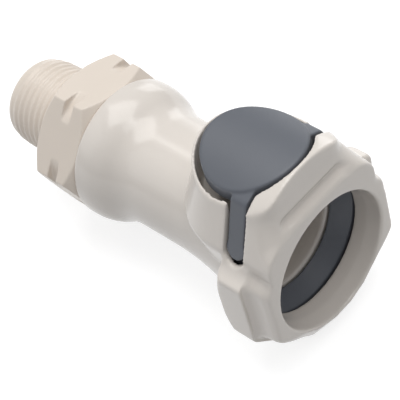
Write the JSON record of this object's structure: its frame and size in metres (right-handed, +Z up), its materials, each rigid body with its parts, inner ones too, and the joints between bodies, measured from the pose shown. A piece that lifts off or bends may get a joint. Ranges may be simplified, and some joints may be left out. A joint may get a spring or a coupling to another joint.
{
  "type": "quick disconnect coupling",
  "caption": "Plastic quick disconnect coupling body with an octagonal grip flange, a thumb latch, a hexagon and a male taper pipe thread.",
  "frame": {"origin": "on the flow axis in the plane of the mouth, where the mating half enters", "axes": "+X along the flow axis out of the mouth, +Z up through the thumb button, +Y to the side"},
  "size_m": [0.0908, 0.0422, 0.0499],
  "materials": {
    "body_plastic": "satin moulded polysulfone",
    "adapter_plastic": "satin moulded polysulfone",
    "latch_plastic": "fine matte grey",
    "spring_steel": "drawn stainless wire",
    "seal_rubber": "moulded"
  },
  "bodies": {
    "housing": {"coupling_body": "body_plastic", "threaded_adapter": "adapter_plastic", "valve_guide": "adapter_plastic", "latch_spring": "spring_steel", "valve_spring": "spring_steel"},
    "latch": {"thumb_latch": "latch_plastic"},
    "valve": {"valve_poppet": "adapter_plastic", "poppet_seal": "seal_rubber"}
  },
  "joints": [
    {"name": "thumb_press", "type": "slide", "parent": "housing", "child": "latch", "axis": [0, 0, -1], "range_m": [-0.0016, 0.0008], "stiffness_N_per_m": 500, "deforming": ["latch_spring"]},
    {"name": "valve_open", "type": "slide", "parent": "housing", "child": "valve", "axis": [-1, 0, 0], "range_m": [0, 0.005], "stiffness_N_per_m": 800, "deforming": ["valve_spring"]}
  ]
}
